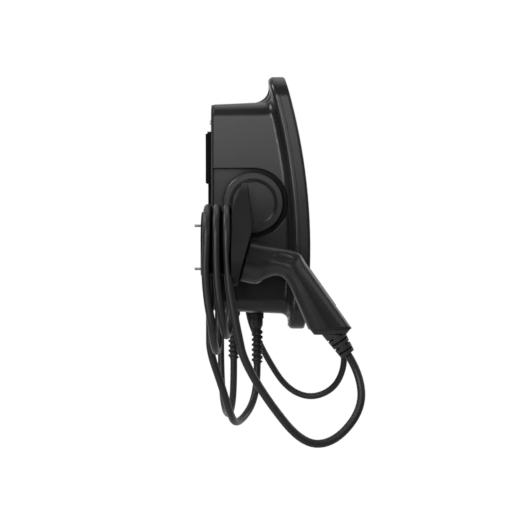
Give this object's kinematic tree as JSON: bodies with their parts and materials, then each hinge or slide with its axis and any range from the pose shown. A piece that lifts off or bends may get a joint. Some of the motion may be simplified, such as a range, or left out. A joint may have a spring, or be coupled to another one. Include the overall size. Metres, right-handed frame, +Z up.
{
  "type": "ev wallbox",
  "caption": "Wall-mounted electric vehicle charger with a curved front panel, round side covers, hanging cable holders and bent-grip charging connectors on coiled cables.",
  "frame": {"origin": "middle of the wall bracket's slot pattern, on the wall plane", "axes": "+X to the viewer's right when facing the front, +Y into the wall, +Z up"},
  "size_m": [0.676, 0.2988, 0.67],
  "materials": {
    "bracket_metal": "black powder coat on pressed steel",
    "screw_steel": "zinc plated steel",
    "housing_plastic": "fine textured dark grey moulding",
    "panel_plastic": "fine textured dark grey moulding, a little smoother than the housing",
    "seal_rubber": "soft black sealing rubber",
    "lens_plastic": "smoked translucent lens",
    "gland_plastic": "black nylon",
    "holder_plastic": "black moulding with a satin surface",
    "grip_plastic": "black moulding with a fine grain",
    "boot_rubber": "black flexible boot",
    "contact_metal": "silver plated brass",
    "cable_rubber": "black cable sheath with a satin surface",
    "inner_steel": "galvanised sheet",
    "device_plastic": "light grey switchgear plastic",
    "board_laminate": "green circuit board laminate"
  },
  "bodies": {
    "root": {"back_plate": "housing_plastic", "back_seal": "seal_rubber", "blank_plate_left": "housing_plastic", "blank_plate_right": "housing_plastic", "blank_ring_left": "housing_plastic", "blank_ring_right": "housing_plastic", "board_posts": "device_plastic", "cable_coil_left": "cable_rubber", "cable_coil_right": "cable_rubber", "cable_feed_left": "cable_rubber", "cable_feed_right": "cable_rubber", "cable_lead_left": "cable_rubber", "cable_lead_right": "cable_rubber", "connector_boot_left": "boot_rubber", "connector_boot_right": "boot_rubber", "connector_contacts_left": "contact_metal", "connector_contacts_right": "contact_metal", "connector_end_cap_left": "grip_plastic", "connector_end_cap_right": "grip_plastic", "connector_grip_left": "grip_plastic", "connector_grip_right": "grip_plastic", "connector_nose_left": "grip_plastic", "connector_nose_right": "grip_plastic", "contactor_left": "device_plastic", "contactor_right": "device_plastic", "controller_board": "board_laminate", "current_sensor_left": "device_plastic", "current_sensor_right": "device_plastic", "energy_meter_left": "device_plastic", "energy_meter_right": "device_plastic", "front_panel": "panel_plastic", "gland_body_left": "gland_plastic", "gland_body_right": "gland_plastic", "gland_cap_left": "gland_plastic", "gland_cap_right": "gland_plastic", "gland_locknut_left": "gland_plastic", "gland_locknut_right": "gland_plastic", "gland_washer_left": "seal_rubber", "gland_washer_right": "seal_rubber", "hanger_screws": "screw_steel", "holder_face_left": "holder_plastic", "holder_face_right": "holder_plastic", "holder_hub_left": "holder_plastic", "holder_hub_right": "holder_plastic", "holder_screws_left": "screw_steel", "holder_screws_right": "screw_steel", "housing": "housing_plastic", "housing_screws": "screw_steel", "inner_plate": "inner_steel", "inner_screws": "screw_steel", "panel_screws": "screw_steel", "panel_seal": "seal_rubber", "power_supply": "device_plastic", "rail_lower": "inner_steel", "rail_upper": "inner_steel", "reader_window": "lens_plastic", "status_lens_left": "lens_plastic", "status_lens_right": "lens_plastic", "supply_terminals": "device_plastic", "wall_bracket": "bracket_metal"}
  },
  "joints": []
}
